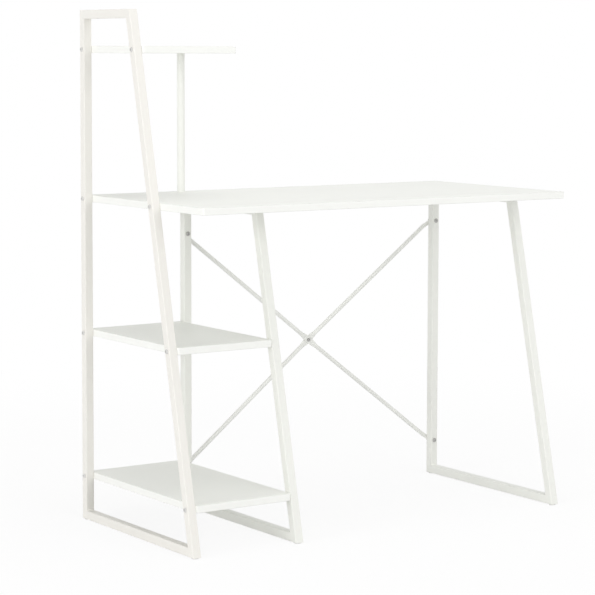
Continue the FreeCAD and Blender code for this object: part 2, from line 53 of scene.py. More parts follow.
MERGE_DISTANCE = 1e-6
SORT_DIGITS = 4
WHITE = (1.0, 1.0, 1.0, 1.0)

Triple = tuple[float, float, float]
Colour = Triple
Span = tuple[float, float]
Box = tuple[Vector, Vector]
Ring = tuple[float, list[float]]


class Slot(Enum):
    """Names of material slots, which this script does not use."""

    STEEL = "white_steel"
    ZINC = "zinc_steel"
    PAD = "white_pad"


class Facing(Enum):
    """The way that a face, or the top of a screw, nut or pad, looks."""

    LEFT = (-1.0, 0.0, 0.0)
    RIGHT = (1.0, 0.0, 0.0)
    FRONT = (0.0, -1.0, 0.0)
    REAR = (0.0, 1.0, 0.0)
    DOWN = (0.0, 0.0, -1.0)
    UP = (0.0, 0.0, 1.0)

    @property
    def axis(self) -> Vector:
        """Unit vector that way."""
        return Vector(self.value)


class Section(Enum):
    """Section of a coated tube, which decides where its coat wears."""

    SQUARE = "square"
    ROUND = "round"


class Detail(Enum):
    """Layers of finer spots in a noise."""

    SMOOTH = 1.0
    SPECKLED = 2.0
    CLOUDY = 3.0
    RAGGED = 4.0


# Node trees as expressions
class Sock:
    """An output socket that takes part in Python arithmetic."""

    def __init__(self, sheet: "NodeSheet", node: bpy.types.Node, link: bpy.types.NodeSocket | None) -> None:
        """Keep the socket and what it belongs to.

        Args:
            sheet: Sheet of the node tree.
            node: Node of the socket.
            link: The socket, or None where the node has no output.
        """
        self.sheet = sheet
        self.node = node
        self.link = link

    def out(self, name: str) -> "Sock":
        """Another output of the same node."""
        return Sock(self.sheet, self.node, self.node.outputs[name])

    def maths(self, operation: str, first: "Value", second: "Value") -> "Sock":
        """Math node over two values."""
        return self.sheet.add("ShaderNodeMath", {"operation": operation}, {0: first, 1: second})

    def __add__(self, other: "Value") -> "Sock":
        """Sum."""
        return self.maths("ADD", self, other)

    def __radd__(self, other: "Value") -> "Sock":
        """Sum with a number in front."""
        return self.maths("ADD", other, self)

    def __sub__(self, other: "Value") -> "Sock":
        """Difference."""
        return self.maths("SUBTRACT", self, other)

    def __rsub__(self, other: "Value") -> "Sock":
        """Difference from a number."""
        return self.maths("SUBTRACT", other, self)

    def __mul__(self, other: "Value") -> "Sock":
        """Product."""
        return self.maths("MULTIPLY", self, other)

    def __rmul__(self, other: "Value") -> "Sock":
        """Product with a number in front."""
        return self.maths("MULTIPLY", other, self)


Value = Sock | float | Sequence[float]
Sockets = dict[int | str, Value]


class NodeSheet:
    """A node tree that is written line by line."""

    SLANT_SPAN: Span = (0.15, 0.85)
    RIM_SPAN: Span = (0.015, 0.2)
    RIM_SAMPLES = 6
    MIX_SHARE, MIX_FIRST, MIX_SECOND = 0, 6, 7
    MIXED_COLOUR = 2

    def __init__(self, tree: bpy.types.NodeTree) -> None:
        """Empty the tree and write on it."""
        self.tree = tree
        tree.nodes.clear()

    def add(
        self,
        kind: str,
        settings: dict[str, object] | None = None,
        sockets: Sockets | None = None,
    ) -> Sock:
        """Add one node.

        Args:
            kind: Type of the node.
            settings: Values of the node itself, set first.
            sockets: Numbers, colours or links of its inputs.

        Returns:
            The node's first output in use.
        """
        node = self.tree.nodes.new(kind)
        for name, setting in (settings or {}).items():
            setattr(node, name, setting)
        for name, value in (sockets or {}).items():
            if isinstance(value, Sock):
                self.tree.links.new(value.link, node.inputs[name])
            else:
                node.inputs[name].default_value = value
        return Sock(self, node, next((link for link in node.outputs if link.enabled), None))

    def place(self) -> Sock:
        """Point of the surface in the model's own frame."""
        return self.add("ShaderNodeTexCoord").out("Object")

    def normal(self) -> Sock:
        """Normal of the surface."""
        return self.add("ShaderNodeNewGeometry").out("Normal")

    def noise(self, place: Sock, pitch: float, detail: Detail) -> Sock:
        """Even noise from 0 to 1, whose spots are a pitch in metres apart."""
        sockets = {"Vector": place, "Scale": 1.0 / pitch, "Detail": detail.value}
        return self.add("ShaderNodeTexNoise", {"noise_dimensions": "3D"}, sockets)

    def spread(self, value: Sock, span: Span) -> Sock:
        """Smooth step from 0 at the start of a span to 1 at its end.

        Args:
            value: What is spread.
            span: Start and end.

        Returns:
            The step's value.
        """
        low, high = span
        settings = {"interpolation_type": "SMOOTHSTEP"}
        return self.add("ShaderNodeMapRange", settings, {"Value": value, "From Min": low, "From Max": high})

    def patches(self, place: Sock, pitch: float, span: Span, detail: Detail = Detail.CLOUDY) -> Sock:
        """Mask of soft patches, which start and are full at the ends of a span of the noise."""
        return self.spread(self.noise(place, pitch, detail), span)

    def mix(self, share: Value, first: Value, second: Value) -> Sock:
        """Colour between two others.

        Args:
            share: 0 for the first colour, 1 for the second.
            first: Colour or link.
            second: Colour or link.

        Returns:
            The mixed colour.
        """
        sockets = {self.MIX_SHARE: share, self.MIX_FIRST: opaque(first), self.MIX_SECOND: opaque(second)}
        mixed = self.add("ShaderNodeMix", {"data_type": "RGBA"}, sockets)
        return Sock(self, mixed.node, mixed.node.outputs[self.MIXED_COLOUR])

    def dot(self, first: Value, second: Value) -> Sock:
        """Dot product of two vectors."""
        sockets = {0: first, 1: second}
        return self.add("ShaderNodeVectorMath", {"operation": "DOT_PRODUCT"}, sockets).out("Value")

    def slant(self, facing: Facing) -> Sock:
        """Mask of the faces that look partly one way, full at 45 degrees to it.

        Args:
            facing: The way.

        Returns:
            The mask, 0 on the faces that look that way or square to it.
        """
        along = self.dot(self.normal(), facing.value)
        squared = along * along
        return self.spread(4.0 * squared * (1.0 - squared), self.SLANT_SPAN)

    def rim(self, radius: float) -> Sock:
        """Mask of the sharp edges of a piece, as wide as a radius."""
        rounded = self.add("ShaderNodeBevel", {"samples": self.RIM_SAMPLES}, {"Radius": radius})
        return self.spread(1.0 - self.dot(rounded, self.normal()), self.RIM_SPAN)

    def bump(self, height: Sock, depth: float) -> Sock:
        """Normal of a height map, whose value 1 is a real height in metres."""
        return self.add("ShaderNodeBump", {}, {"Distance": depth, "Height": height})

    def mix_shaders(self, share: Sock, first: Sock, second: Sock) -> Sock:
        """Shader between two others, the first at a share of 0."""
        return self.add("ShaderNodeMixShader", {}, {0: share, 1: first, 2: second})


def opaque(colour: Value) -> Value:
    """Colour with full alpha, or the link as it is."""
    return colour if isinstance(colour, Sock) else (*colour[:3], 1.0)


def darker(colour: Colour, shade: float) -> Colour:
    """Colour with a share of its light."""
    return (colour[0] * shade, colour[1] * shade, colour[2] * shade)


# Finishes
class Finish:
    """A finish that writes its own nodes."""

    name: str

    def write(self, sheet: NodeSheet) -> Sockets:
        """Sockets of the surface shader."""
        raise NotImplementedError

    def material(self) -> bpy.types.Material:
        """The finish's material, made once.

        Returns:
            The material.
        """
        known = bpy.data.materials.get(self.name)
        if known:
            return known
        made = bpy.data.materials.new(self.name)
        made.use_nodes = True
        sheet = NodeSheet(made.node_tree)
        shader = sheet.add("ShaderNodeBsdfPrincipled", {}, self.write(sheet))
        sheet.add("ShaderNodeOutputMaterial", {}, {"Surface": shader})
        return made


@dataclass(frozen=True)
class PowderCoat(Finish):
    """Satin powder coat on steel tube, with a fine orange peel and thin spots along the edges."""

    name: str
    tint: Colour
    section: Section = Section.SQUARE
    shade: float = 0.985
    drift: float = 0.24
    drift_span: Span = (0.35, 0.65)
    drift_share: float = 0.75
    peel: float = 0.0017
    peel_share: float = 0.85
    grit: float = 0.0005
    relief: float = 0.00003
    thin: Colour = (0.72, 0.71, 0.68)
    thin_share: float = 0.25
    edge: float = 0.0006
    patch: float = 0.009
    patch_span: Span = (0.52, 0.74)
    roughness: float = 0.34
    drift_roughness: float = 0.06
    grit_roughness: float = 0.08
    worn_polish: float = 0.06
    gloss: float = 0.42

    def write(self, sheet: NodeSheet) -> Sockets:
        """Sockets of the surface shader.

        Args:
            sheet: Tree to write on.

        Returns:
            Values and links by socket.
        """
        place = sheet.place()
        slow = sheet.patches(place, self.drift, self.drift_span)
        peel = sheet.noise(place, self.peel, Detail.SMOOTH)
        grit = sheet.noise(place, self.grit, Detail.SPECKLED)
        edge = sheet.slant(Facing.RIGHT) if self.section is Section.SQUARE else sheet.rim(self.edge)
        worn = edge * sheet.patches(place, self.patch, self.patch_span)
        cloud = self.drift_share * slow + (1.0 - self.drift_share) * grit
        colour = sheet.mix(cloud, darker(self.tint, self.shade), self.tint)
        rough = self.roughness + self.drift_roughness * slow + self.grit_roughness * grit
        relief = self.peel_share * peel + (1.0 - self.peel_share) * grit
        return {
            "Base Color": sheet.mix(self.thin_share * worn, colour, self.thin),
            "Roughness": rough - self.worn_polish * worn,
            "Normal": sheet.bump(relief, self.relief),
            "Specular IOR Level": self.gloss,
        }


@dataclass(frozen=True)
class Melamine(Finish):
    """White coated board with a fine pearl texture, a smoother edge band and a seam between them."""

    name: str
    face: Colour = (0.915, 0.924, 0.880)
    band: Colour = (0.940, 0.946, 0.912)
    band_span: Span = (0.15, 0.35)
    seam: Colour = (0.70, 0.70, 0.665)
    seam_share: float = 0.25
    chip: float = 0.012
    chip_span: Span = (0.45, 0.75)
    chip_share: float = 0.35
    shade: float = 0.988
    drift: float = 0.32
    drift_span: Span = (0.35, 0.65)
    drift_share: float = 0.65
    pearl: float = 0.0009
    relief: float = 0.00005
    band_relief: float = 0.2
    rub: float = 0.055
    rub_span: Span = (0.5, 0.75)
    roughness: float = 0.40
    pearl_roughness: float = 0.10
    rub_roughness: float = 0.07
    band_polish: float = 0.10
    gloss: float = 0.45

    def write(self, sheet: NodeSheet) -> Sockets:
        """Sockets of the surface shader.

        Args:
            sheet: Tree to write on.

        Returns:
            Values and links by socket.
        """
        place = sheet.place()
        slow = sheet.patches(place, self.drift, self.drift_span)
        pearl = sheet.noise(place, self.pearl, Detail.SPECKLED)
        rubbed = sheet.patches(place, self.rub, self.rub_span, Detail.RAGGED)
        upright = sheet.dot(sheet.normal(), Facing.UP.value)
        banded = 1.0 - sheet.spread(upright * upright, self.band_span)
        joint = sheet.slant(Facing.UP)
        chipped = joint * sheet.patches(place, self.chip, self.chip_span)
        cloud = self.drift_share * slow + (1.0 - self.drift_share) * pearl
        colour = sheet.mix(cloud, darker(self.face, self.shade), self.face)
        colour = sheet.mix(banded, colour, self.band)
        rough = self.roughness + self.pearl_roughness * pearl + self.rub_roughness * rubbed
        return {
            "Base Color": sheet.mix(self.seam_share * joint + self.chip_share * chipped, colour, self.seam),
            "Roughness": rough - self.band_polish * banded,
            "Normal": sheet.bump(pearl * (1.0 - (1.0 - self.band_relief) * banded), self.relief),
            "Specular IOR Level": self.gloss,
        }


@dataclass(frozen=True)
class ZincPlate(Finish):
    """Zinc plated steel with a faint spangle, brighter where it is rubbed."""

    name: str
    dull: Colour = (0.71, 0.705, 0.69)
    clear: Colour = (0.82, 0.815, 0.80)
    rubbed: Colour = (0.90, 0.90, 0.88)
    rubbed_share: float = 0.7
    edge: float = 0.0003
    spangle: float = 0.0009
    spangle_share: float = 0.6
    fine: float = 0.00025
    relief: float = 0.00002
    roughness: float = 0.34
    fine_roughness: float = 0.16
    edge_polish: float = 0.10

    def write(self, sheet: NodeSheet) -> Sockets:
        """Sockets of the surface shader.

        Args:
            sheet: Tree to write on.

        Returns:
            Values and links by socket.
        """
        place = sheet.place()
        sockets = {"Vector": place, "Scale": 1.0 / self.spangle}
        cells = sheet.add("ShaderNodeTexVoronoi", {"feature": "SMOOTH_F1"}, sockets)
        fine = sheet.noise(place, self.fine, Detail.CLOUDY)
        edge = sheet.rim(self.edge)
        cloud = self.spangle_share * cells + (1.0 - self.spangle_share) * fine
        colour = sheet.mix(cloud, self.dull, self.clear)
        return {
            "Base Color": sheet.mix(self.rubbed_share * edge, colour, self.rubbed),
            "Metallic": 1.0,
            "Roughness": self.roughness + self.fine_roughness * fine - self.edge_polish * edge,
            "Normal": sheet.bump(fine, self.relief),
        }


@dataclass(frozen=True)
class MouldedPlastic(Finish):
    """Pale moulded plastic with a spark-eroded grain."""

    name: str
    tint: Colour = (0.82, 0.82, 0.80)
    scuff: Colour = (0.62, 0.61, 0.58)
    scuff_share: float = 0.6
    edge: float = 0.0006
    patch: float = 0.004
    patch_span: Span = (0.45, 0.7)
    grain: float = 0.0006
    grain_share: float = 0.3
    relief: float = 0.00008
    roughness: float = 0.5
    grain_roughness: float = 0.2

    def write(self, sheet: NodeSheet) -> Sockets:
        """Sockets of the surface shader.

        Args:
            sheet: Tree to write on.

        Returns:
            Values and links by socket.
        """
        place = sheet.place()
        grain = sheet.noise(place, self.grain, Detail.SPECKLED)
        scuffed = sheet.rim(self.edge) * sheet.patches(place, self.patch, self.patch_span)
        colour = sheet.mix(self.grain_share * grain, self.tint, self.scuff)
        return {
            "Base Color": sheet.mix(self.scuff_share * scuffed, colour, self.scuff),
            "Roughness": self.roughness + self.grain_roughness * grain,
            "Normal": sheet.bump(grain, self.relief),
        }


# The four coats are one white powder coat in four tints. Each tint is set to how bright its parts look in
# their place: painted light and shade, not a difference in the paint.
LEFT_COAT = PowderCoat("left_powder_coat", (0.876, 0.859, 0.812))
SHORT_COAT = PowderCoat("short_powder_coat", (0.882, 0.888, 0.842))
POST_COAT = PowderCoat("post_powder_coat", (0.880, 0.886, 0.846), Section.ROUND)
BRACE_COAT = PowderCoat("brace_powder_coat", (0.862, 0.866, 0.832), Section.ROUND)
BOARD = Melamine("white_melamine")
ZINC = ZincPlate("bright_zinc")
# Darker copy of the same zinc for the brace bolts and nuts: painted shade for their place under the desk,
# not a duller plating.
ZINC_WITH_PAINTED_SHADE = ZincPlate(
    "zinc_with_painted_shade", dull=(0.42, 0.415, 0.405), clear=(0.58, 0.575, 0.56), rubbed=(0.74, 0.735, 0.72)
)
PLASTIC = MouldedPlastic("pale_plastic")


# Mesh making
def paint(node: str, finish: Finish) -> None:
    """Put a finish on a CAD node.

    Args:
        node: Name of the node.
        finish: Finish for all its slots.
    """
    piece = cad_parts[node]
    for place in piece.material_slots:
        place.material = finish.material()
    LOG.info("%s: %s", node, finish.name)


def new_piece(name: str, work: bmesh.types.BMesh, finish: Finish) -> bpy.types.Object:
    """Make a piece of the worked mesh, dress it and let it ride on the desk.

    Args:
        name: Name of the piece.
        work: The mesh, which is freed.
        finish: Its finish.

    Returns:
        The new piece.
    """
    bmesh.ops.recalc_face_normals(work, faces=work.faces)
    mesh = bpy.data.meshes.new(name)
    work.to_mesh(mesh)
    work.free()
    mesh.shade_smooth()
    mesh.set_sharp_from_angle(angle=SHARP_ANGLE)
    mesh.materials.append(finish.material())
    piece = bpy.data.objects.new(name, mesh)
    bpy.context.scene.collection.objects.link(piece)
    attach(piece, "root")
    LOG.info("%s: %d faces, %s", name, len(mesh.polygons), finish.name)
    return piece


def solids(node: str) -> list[Box]:
    """Boxes of the separate solids in a CAD node.

    Args:
        node: Name of the node.

    Returns:
        Lowest and highest corner of each solid, in order of the lowest.
    """
    work = bmesh.new()
    work.from_mesh(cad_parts[node].data)
    bmesh.ops.remove_doubles(work, verts=work.verts, dist=MERGE_DISTANCE)
    waiting = set(work.verts)
    boxes = []
    while waiting:
        reached = [waiting.pop()]
        for point in reached:
            for edge in point.link_edges:
                other = edge.other_vert(point)
                if other in waiting:
                    waiting.remove(other)
                    reached.append(other)
        low = Vector(min(point.co[axis] for point in reached) for axis in range(3))
        high = Vector(max(point.co[axis] for point in reached) for axis in range(3))
        boxes.append((low, high))
    work.free()
    return sorted(boxes, key=lambda box: tuple(round(part, SORT_DIGITS) for part in box[0]))


def round_ring(diameter: float) -> list[float]:
    """Radii of a round ring."""
    return [diameter / 2] * SEGMENTS


def hex_ring(width: float) -> list[float]:
    """Radii of a hexagon's ring.

    Args:
        width: Width across flats.

    Returns:
        One radius for each segment.
    """
    half_side = math.pi / 6
    turns = [math.tau * step / SEGMENTS for step in range(SEGMENTS)]
    return [width / 2 / math.cos((turn + half_side) % (2 * half_side) - half_side) for turn in turns]


def trimmed_ring(width: float, diameter: float) -> list[float]:
    """Radii of a hexagon whose corners are turned down to a diameter."""
    return [min(radius, diameter / 2) for radius in hex_ring(width)]


def skin(work: bmesh.types.BMesh, lower: list[bmesh.types.BMVert], upper: list[bmesh.types.BMVert]) -> None:
    """Close the strip between two rings of the same count.

    Args:
        work: Mesh to add to.
        lower: Points of the first ring.
        upper: Points of the second.
    """
    count = len(lower)
    for step in range(count):
        after = (step + 1) % count
        work.faces.new((lower[step], lower[after], upper[after], upper[step]))


def lathe(work: bmesh.types.BMesh, stack: list[Ring], place: Matrix, hollow: bool = False) -> None:
    """Skin a stack of rings about a local Z axis.

    Args:
        work: Mesh to add to.
        stack: Height and radii of each ring, in order along the skin.
        place: Where the local axes stand.
        hollow: True if the last ring joins the first, false if both are closed by a face.
    """
    rings = []
    for height, radii in stack:
        ring = []
        for step, radius in enumerate(radii):
            turn = math.tau * step / SEGMENTS
            point = Vector((radius * math.cos(turn), radius * math.sin(turn), height))
            ring.append(work.verts.new(place @ point))
        rings.append(ring)
    for lower, upper in zip(rings, rings[1:]):
        skin(work, lower, upper)
    if hollow:
        skin(work, rings[-1], rings[0])
    else:
        work.faces.new(reversed(rings[0]))
        work.faces.new(rings[-1])


def top_of(box: Box, facing: Facing) -> Matrix:
    """Local axes at the top of a boxed solid.

    Args:
        box: Corners of the solid.
        facing: The way its top looks.

    Returns:
        Axes whose Z points out of the top, with their origin on it.
    """
    low, high = box
    axis = facing.axis
    half = (high - low) / 2
    middle = (low + high) / 2
    reach = Vector(part * size for part, size in zip(axis, half))
    return Matrix.Translation(middle + reach) @ axis.to_track_quat("Z", "Y").to_matrix().to_4x4()


def length_of(box: Box, facing: Facing) -> float:
    """Length of a boxed solid along the way that it looks."""
    return abs((box[1] - box[0]).dot(facing.axis))


def width_of(box: Box, facing: Facing) -> float:
    """Largest width of a boxed solid across the way that it looks."""
    return max(size for size, part in zip(box[1] - box[0], facing.value) if part == 0)


# Steel frames, boards and round tubes
@dataclass
class SteelFrame:
    """Closed frame of four mitred square tubes, with a painted weld bead in each inner corner."""

    name: str
    coat: PowderCoat
    bead: float = 0.0026
    side_gap: float = 0.0030
    ripple: float = 0.0017
    ripple_depth: float = 0.10
    end_fill: float = 0.25
    root_depth: float = 0.2
    face_dip: float = 0.22
    steps: int = 56
    arc_steps: int = 7

    @property
    def tubes(self) -> list[str]:
        """Names of the four tubes."""
        return [f"{self.name}_{part}" for part in ("foot_bar", "rear_leg", "top_bar", "front_leg")]

    def corners(self) -> list[tuple[Vector, Vector, Vector]]:
        """Inner corners of the frame.

        Returns:
            For each corner its point in the frame's middle plane and the ways along its two inner faces.
        """
        foot, rear, top, _ = (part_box(tube) for tube in self.tubes)
        middle = (foot[0].x + foot[1].x) / 2
        lean = Vector((0.0, top[0].y - foot[0].y, top[1].z - foot[0].z)).normalized()
        tube = foot[1].x - foot[0].x
        low, high, back = foot[1].z, top[0].z, rear[0].y

        def front(height: float) -> float:
            """Inner face of the leaning leg at a height."""
            return foot[0].y + (height - foot[0].z) * lean.y / lean.z + tube / lean.z

        ahead, behind = Facing.FRONT.axis, Facing.REAR.axis
        return [
            (Vector((middle, back, low)), ahead, Facing.UP.axis),
            (Vector((middle, back, high)), ahead, Facing.DOWN.axis),
            (Vector((middle, front(low), low)), behind, lean),
            (Vector((middle, front(high), high)), behind, -lean),
        ]

    def add_bead(self, work: bmesh.types.BMesh, corner: Vector, first: Vector, second: Vector) -> None:
        """Lay one rippled bead across the tube.

        Args:
            work: Mesh to add to.
            corner: Inner corner in the middle of the tube.
            first: Way along one inner face.
            second: Way along the other.
        """
        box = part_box(self.tubes[0])
        half = (box[1].x - box[0].x) / 2 - self.side_gap
        rings = []
        for step in range(self.steps + 1):
            across = -half + 2 * half * step / self.steps
            ends = min(1.0, (half - abs(across)) / self.bead + self.end_fill)
            wave = 1 + self.ripple_depth * math.sin(math.tau * across / self.ripple)
            leg = self.bead * math.sqrt(ends) * wave
            centre = corner + Vector((across, 0.0, 0.0))
            ring = [work.verts.new(centre - (first + second) * self.bead * self.root_depth)]
            for part in range(self.arc_steps + 1):
                turn = math.pi / 2 * part / self.arc_steps
                out = (first * math.cos(turn) + second * math.sin(turn)) * leg
                ring.append(work.verts.new(centre + out * (1 - self.face_dip * math.sin(2 * turn))))
            rings.append(ring)
        for lower, upper in zip(rings, rings[1:]):
            skin(work, lower, upper)
        work.faces.new(rings[0])
        work.faces.new(rings[-1])

    def build(self) -> None:
        """Weld the inner corners."""
        work = bmesh.new()
        for corner, first, second in self.corners():
            self.add_bead(work, corner, first, second)
        new_piece(f"{self.name}_corner_welds", work, self.coat)

    def dress(self) -> None:
        """Coat the four tubes."""
        for tube in self.tubes:
            paint(tube, self.coat)


@dataclass
class Boards:
    """Desk top and three shelves."""

    names: tuple[str, ...] = ("desk_top", "top_shelf", "middle_shelf", "bottom_shelf")
    finish: Melamine = BOARD

    def dress(self) -> None:
        """Coat the boards."""
        for name in self.names:
            paint(name, self.finish)


@dataclass
class RoundTubes:
    """Shelf post with its plugs, and the two crossed braces."""

    post: str = "shelf_post"
    plugs: str = "post_plugs"
    braces: tuple[str, ...] = ("falling_brace", "rising_brace")

    def dress(self) -> None:
        """Coat the post and the braces, and plate the plugs."""
        paint(self.post, POST_COAT)
        paint(self.plugs, ZINC)
        for brace in self.braces:
            paint(brace, BRACE_COAT)


# Small hardware
@dataclass(frozen=True)
class ButtonScrew:
    """Button head screw with a hexagon recess and a turned thread; shares are of the size that they name."""

    head: float
    height: float
    key: float
    shank: float
    pitch: float = 0.001
    lip: float = 0.0004
    dome_steps: int = 8
    recess_height_share: float = 0.6
    cone_depth: float = 0.0004
    cone_key_share: float = 0.25
    floor_key_share: float = 0.96
    mouth_key_share: float = 1.04
    mouth_depth: float = 0.00004
    wall_depth: float = 0.0002
    flat_key_share: float = 1.32
    rim_height: float = 0.00008
    rim_ease: float = 0.0002
    thread_start: float = 0.0002
    thread_reserve: float = 0.0012
    root_shank_share: float = 0.88
    run_out_shank_share: float = 0.94
    tip_shank_share: float = 0.74
    tip_length: float = 0.0008

    def stack(self, length: float) -> list[Ring]:
        """Rings of a screw of one whole length, from the floor of its recess to its tip."""
        return self.recess() + self.dome() + self.thread(length)

    def recess(self) -> list[Ring]:
        """Rings of the hexagon recess, from its drilled cone to its mouth."""
        floor = -self.recess_height_share * self.height
        return [
            (floor - self.cone_depth, hex_ring(self.key * self.cone_key_share)),
            (floor, hex_ring(self.key * self.floor_key_share)),
            (-self.wall_depth, hex_ring(self.key)),
            (-self.mouth_depth, hex_ring(self.key * self.mouth_key_share)),
        ]

    def dome(self) -> list[Ring]:
        """Rings of the head, from its flat top to the shank.

        Returns:
            Heights from the top, with the radii there.
        """
        flat = self.key * self.flat_key_share
        rings = []
        for step in range(self.dome_steps + 1):
            turn = math.pi / 2 * step / self.dome_steps
            width = flat + (self.head - flat) * math.sin(turn)
            rings.append(((self.lip - self.height) * (1 - math.cos(turn)), round_ring(width)))
        rings.append((self.rim_height - self.height, round_ring(self.head)))
        rings.append((-self.height, round_ring(self.head - self.rim_ease)))
        rings.append((-self.height, round_ring(self.shank)))
        return rings

    def thread(self, length: float) -> list[Ring]:
        """Rings of the thread and the tip.

        Args:
            length: Length of the whole screw.

        Returns:
            Heights from the top, with the radii there.
        """
        turns = int((length - self.height - self.thread_reserve) / self.pitch)
        rings = []
        for turn in range(turns):
            crest = -self.height - self.thread_start - turn * self.pitch
            rings.append((crest, round_ring(self.shank)))
            rings.append((crest - self.pitch / 2, round_ring(self.shank * self.root_shank_share)))
        rings.append((self.tip_length - length, round_ring(self.shank * self.run_out_shank_share)))
        rings.append((-length, round_ring(self.shank * self.tip_shank_share)))
        return rings


@dataclass(frozen=True)
class HexNut:
    """Hexagon nut with turned corners at both faces; shares are of the size that they name."""

    width: float
    thread: float
    chamfer: float = 0.0007
    chamfer_slope: float = 1.73
    face_width_share: float = 0.96
    lead_thread_share: float = 1.12
    lead_depth: float = 0.0005
    steps: int = 4

    def stack(self, height: float) -> list[Ring]:
        """Rings of the nut, round its section.

        Args:
            height: Height of the nut.

        Returns:
            Heights from the top, with the radii there.
        """
        face = self.width * self.face_width_share
        sloped = []
        for step in range(self.steps + 1):
            down = self.chamfer * step / self.steps
            sloped.append((down, trimmed_ring(self.width, face + 2 * down * self.chamfer_slope)))
        lead = round_ring(self.thread * self.lead_thread_share)
        bore = round_ring(self.thread)
        rings = [(0.0, lead)]
        rings += [(-down, radii) for down, radii in sloped]
        rings += [(down - height, radii) for down, radii in reversed(sloped)]
        rings += [(-height, lead), (self.lead_depth - height, bore), (-self.lead_depth, bore)]
        return rings


@dataclass
class Hardware:
    """Screws, bolts and nuts of the desk, in a size for the frames and a smaller one for the crossing."""

    frame_screw: ButtonScrew = ButtonScrew(head=0.011, height=0.003, key=0.004, shank=0.006)
    crossing_screw: ButtonScrew = ButtonScrew(
        head=0.0095, height=0.0028, key=0.003, shank=0.005, pitch=0.0008
    )
    head_limit: float = 0.0102
    frame_nut: HexNut = HexNut(width=0.010, thread=0.0061)
    crossing_nut: HexNut = HexNut(width=0.008, thread=0.0051)
    nut_limit: float = 0.0095

    def screws(self, node: str, facings: Sequence[Facing], finish: ZincPlate = ZINC) -> None:
        """Turn the screws of one CAD node.

        Args:
            node: Name of the node, which the new piece replaces.
            facings: The way that each screw's head looks, or one for all.
            finish: Their plating.
        """
        work = bmesh.new()
        for index, box in enumerate(solids(node)):
            facing = facings[index % len(facings)]
            large = width_of(box, facing) > self.head_limit
            screw = self.frame_screw if large else self.crossing_screw
            lathe(work, screw.stack(length_of(box, facing)), top_of(box, facing))
        piece = new_piece(f"{node}_turned", work, finish)
        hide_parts(node)

    def nuts(self, node: str, facing: Facing, finish: ZincPlate) -> None:
        """Make the nuts of one CAD node.

        Args:
            node: Name of the node, which the new piece replaces.
            facing: The way that the nuts' outer faces look.
            finish: Their plating.
        """
        work = bmesh.new()
        for box in solids(node):
            large = width_of(box, facing) > self.nut_limit
            nut = self.frame_nut if large else self.crossing_nut
            lathe(work, nut.stack(length_of(box, facing)), top_of(box, facing), hollow=True)
        piece = new_piece(f"{node}_turned", work, finish)
        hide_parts(node)

    def build(self) -> None:
        """Make every screw and nut."""
        self.screws("left_board_screws", [Facing.LEFT])
        self.screws("middle_board_screws", [Facing.RIGHT])
        self.screws("desk_screws", [Facing.DOWN])
        self.screws("post_bolts", [Facing.DOWN, Facing.UP])
        # The brace bolts and nuts take the darker zinc copy, which paints the shade under the desk.
        self.screws("brace_bolts", [Facing.FRONT], ZINC_WITH_PAINTED_SHADE)
        self.nuts("brace_nuts", Facing.REAR, ZINC_WITH_PAINTED_SHADE)


@dataclass
class FootPads:
    """Turned plastic pads under the foot bars, rounded at the rim and grooved below."""

    frames: tuple[str, ...] = ("left", "middle", "right")
    rim: float = 0.0007
    rim_steps: int = 5
    chamfer: float = 0.0003
    groove_depth: float = 0.0003
    groove_mouth: Span = (0.72, 0.58)
    groove_floor: Span = (0.69, 0.61)

    def stack(self, diameter: float, height: float) -> list[Ring]:
        """Rings of a pad from its top to its sole.

        Args:
            diameter: Width of the pad.
            height: Height of the pad.

        Returns:
            Heights from the top, with the radii there.
        """
        rings = [(0.0, round_ring(diameter - 2 * self.chamfer)), (-self.chamfer, round_ring(diameter))]
        for step in range(self.rim_steps + 1):
            turn = math.pi / 2 * step / self.rim_steps
            width = diameter - 2 * self.rim * (1 - math.cos(turn))
            rings.append((self.rim - height - self.rim * math.sin(turn), round_ring(width)))
        rings.append((-height, round_ring(diameter * self.groove_mouth[0])))
        for share in self.groove_floor:
            rings.append((self.groove_depth - height, round_ring(diameter * share)))
        rings.append((-height, round_ring(diameter * self.groove_mouth[1])))
        return rings

    def build(self) -> None:
        """Turn the pads of the three frames."""
        for name in self.frames:
            node = f"{name}_foot_pads"
            work = bmesh.new()
            for box in solids(node):
                size = box[1] - box[0]
                lathe(work, self.stack(size.x, size.z), top_of(box, Facing.UP))
            piece = new_piece(f"{node}_turned", work, PLASTIC)
            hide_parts(node)


# Studio
@dataclass(frozen=True)
class Lamp:
    """Square soft lamp, which lights the desk but isn't seen in it."""

    name: str
    place: Triple
    size: float
    power: float
    target: Triple = (0.0, 0.0, 0.6)

    def build(self) -> None:
        """Hang the lamp and turn it to its target."""
        data = bpy.data.lights.new(self.name, "AREA")
        data.shape = "SQUARE"
        data.size = self.size
        data.energy = self.power
        lamp = bpy.data.objects.new(self.name, data)
        lamp.location = self.place
        lamp.rotation_mode = "QUATERNION"
        lamp.rotation_quaternion = (Vector(self.target) - Vector(self.place)).to_track_quat("-Z", "Y")
        lamp.visible_camera = False
        lamp.visible_glossy = False
        bpy.context.scene.collection.objects.link(lamp)


